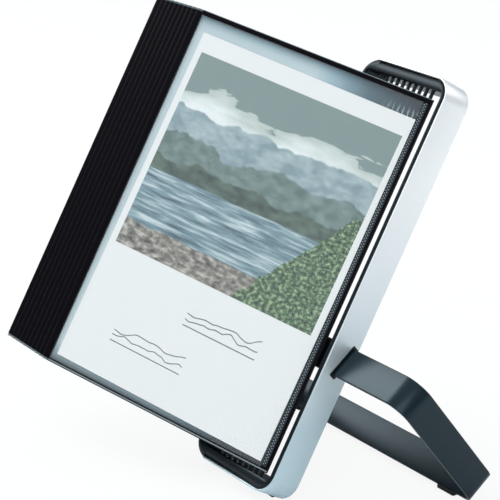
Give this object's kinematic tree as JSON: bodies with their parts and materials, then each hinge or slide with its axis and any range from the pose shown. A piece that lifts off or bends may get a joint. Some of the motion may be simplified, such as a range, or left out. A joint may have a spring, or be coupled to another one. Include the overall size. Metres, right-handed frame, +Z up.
{
  "type": "desktop pocket display stand",
  "caption": "Leaning desk stand with a rounded frame, a ring foot and a fan of clear pockets for printed sheets that turn like pages on side hinges.",
  "frame": {"origin": "middle of the flat underside of the rubber strip under the frame, on the desk", "axes": "+X to the right seen from the front, +Y to the back where the ring foot stands, +Z up"},
  "size_m": [0.3778, 0.2643, 0.3454],
  "materials": {
    "black_plastic": "satin",
    "page_plastic": "satin",
    "anodised_aluminium": "satin",
    "coated_steel": "satin",
    "rubber": "matte",
    "clear_film": "clear gloss",
    "paper": "matte"
  },
  "bodies": {
    "stand": {"core_frame": "black_plastic", "side_shell": "anodised_aluminium", "upper_comb": "black_plastic", "lower_comb": "black_plastic", "foot_ring": "coated_steel", "slot_bush_right": "black_plastic", "slot_bush_left": "black_plastic", "foot_pad_right": "rubber", "foot_pad_left": "rubber", "front_foot_strip": "rubber"},
    "page_01": {"page_frame_01": "page_plastic", "page_pocket_01": "clear_film", "page_pins_01": "black_plastic", "insert_sheet": "paper"},
    "page_02": {"page_frame_02": "page_plastic", "page_pocket_02": "clear_film", "page_pins_02": "black_plastic"},
    "page_03": {"page_frame_03": "page_plastic", "page_pocket_03": "clear_film", "page_pins_03": "black_plastic"},
    "page_04": {"page_frame_04": "page_plastic", "page_pocket_04": "clear_film", "page_pins_04": "black_plastic"},
    "page_05": {"page_frame_05": "page_plastic", "page_pocket_05": "clear_film", "page_pins_05": "black_plastic"},
    "page_06": {"page_frame_06": "page_plastic", "page_pocket_06": "clear_film", "page_pins_06": "black_plastic"},
    "page_07": {"page_frame_07": "page_plastic", "page_pocket_07": "clear_film", "page_pins_07": "black_plastic"},
    "page_08": {"page_frame_08": "page_plastic", "page_pocket_08": "clear_film", "page_pins_08": "black_plastic"},
    "page_09": {"page_frame_09": "page_plastic", "page_pocket_09": "clear_film", "page_pins_09": "black_plastic"},
    "page_10": {"page_frame_10": "page_plastic", "page_pocket_10": "clear_film", "page_pins_10": "black_plastic"}
  },
  "joints": [
    {"name": "page_01_hinge", "type": "hinge", "parent": "stand", "child": "page_01", "pos_m": [0.03195, 0.06751, 0.15932], "axis": [0, 0.5, 0.866], "range_deg": [0, 135]},
    {"name": "page_02_hinge", "type": "hinge", "parent": "stand", "child": "page_02", "pos_m": [0.02485, 0.06751, 0.15932], "axis": [0, 0.5, 0.866], "range_deg": [0, 121.5]},
    {"name": "page_03_hinge", "type": "hinge", "parent": "stand", "child": "page_03", "pos_m": [0.01775, 0.06751, 0.15932], "axis": [0, 0.5, 0.866], "range_deg": [0, 108]},
    {"name": "page_04_hinge", "type": "hinge", "parent": "stand", "child": "page_04", "pos_m": [0.01065, 0.06751, 0.15932], "axis": [0, 0.5, 0.866], "range_deg": [0, 94.5]},
    {"name": "page_05_hinge", "type": "hinge", "parent": "stand", "child": "page_05", "pos_m": [0.00355, 0.06751, 0.15932], "axis": [0, 0.5, 0.866], "range_deg": [0, 81]},
    {"name": "page_06_hinge", "type": "hinge", "parent": "stand", "child": "page_06", "pos_m": [-0.00355, 0.06751, 0.15932], "axis": [0, 0.5, 0.866], "range_deg": [0, 67.5]},
    {"name": "page_07_hinge", "type": "hinge", "parent": "stand", "child": "page_07", "pos_m": [-0.01065, 0.06751, 0.15932], "axis": [0, 0.5, 0.866], "range_deg": [0, 54]},
    {"name": "page_08_hinge", "type": "hinge", "parent": "stand", "child": "page_08", "pos_m": [-0.01775, 0.06751, 0.15932], "axis": [0, 0.5, 0.866], "range_deg": [0, 40.5]},
    {"name": "page_09_hinge", "type": "hinge", "parent": "stand", "child": "page_09", "pos_m": [-0.02485, 0.06751, 0.15932], "axis": [0, 0.5, 0.866], "range_deg": [0, 27]},
    {"name": "page_10_hinge", "type": "hinge", "parent": "stand", "child": "page_10", "pos_m": [-0.03195, 0.06751, 0.15932], "axis": [0, 0.5, 0.866], "range_deg": [0, 13.5]}
  ],
  "couplings": [
    {"joint": "page_02_hinge", "follows": "page_01_hinge", "ratio": 0.9},
    {"joint": "page_03_hinge", "follows": "page_01_hinge", "ratio": 0.8},
    {"joint": "page_04_hinge", "follows": "page_01_hinge", "ratio": 0.7},
    {"joint": "page_05_hinge", "follows": "page_01_hinge", "ratio": 0.6},
    {"joint": "page_06_hinge", "follows": "page_01_hinge", "ratio": 0.5},
    {"joint": "page_07_hinge", "follows": "page_01_hinge", "ratio": 0.4},
    {"joint": "page_08_hinge", "follows": "page_01_hinge", "ratio": 0.3},
    {"joint": "page_09_hinge", "follows": "page_01_hinge", "ratio": 0.2},
    {"joint": "page_10_hinge", "follows": "page_01_hinge", "ratio": 0.1}
  ]
}
